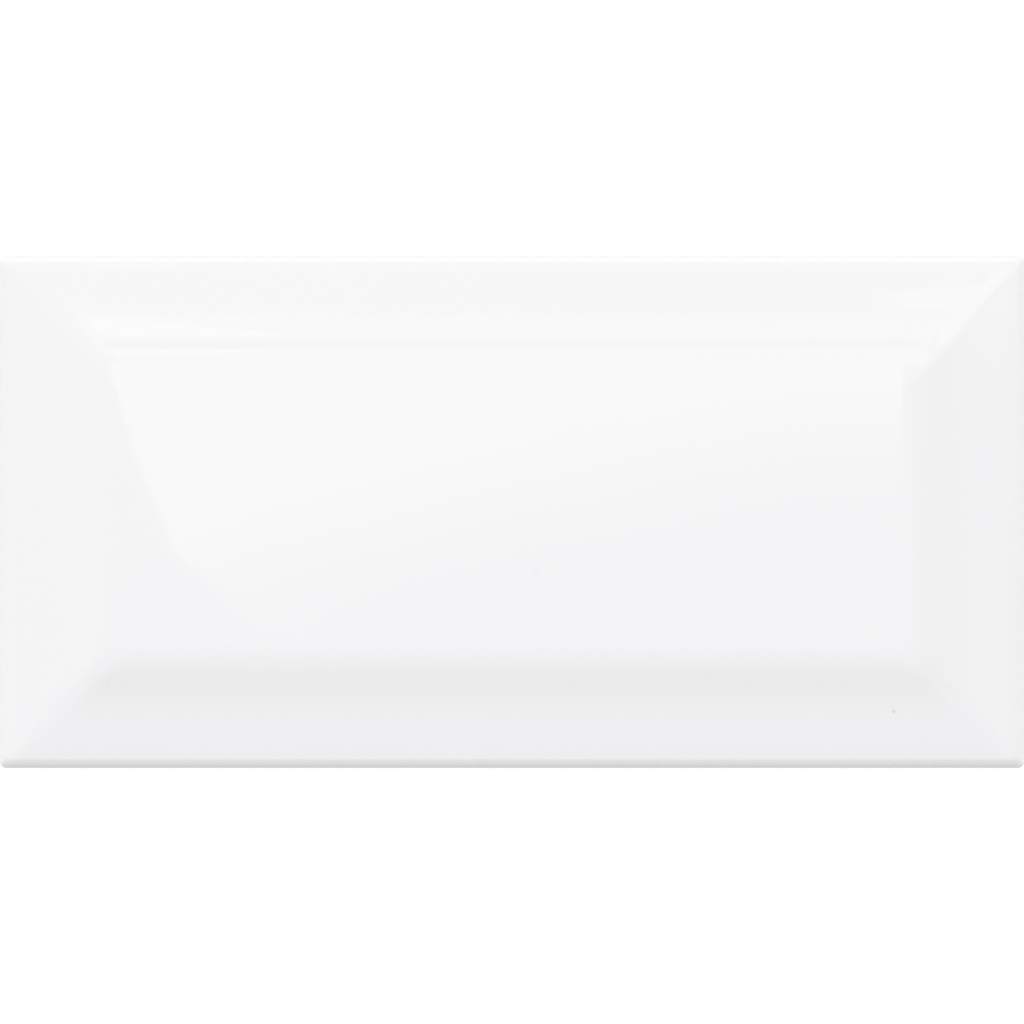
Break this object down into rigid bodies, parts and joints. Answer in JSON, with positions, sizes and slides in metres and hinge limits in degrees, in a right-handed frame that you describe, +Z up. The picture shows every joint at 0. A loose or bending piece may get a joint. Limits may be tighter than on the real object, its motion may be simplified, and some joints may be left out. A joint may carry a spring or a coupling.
{
  "type": "beveled tile",
  "caption": "Rectangular glossy white glazed wall tile with broad bevelled edges round a flat raised field and a ribbed keying back.",
  "frame": {"origin": "middle of the back, on the plane of its ribs and border, which is the plane the tile rests on", "axes": "+X along the tile's length, +Y across its width, +Z up out of the glazed face"},
  "size_m": [0.2, 0.1, 0.008],
  "materials": {
    "white_glaze": "gloss"
  },
  "bodies": {
    "root": {"beveled_tile": "white_glaze"}
  },
  "joints": []
}
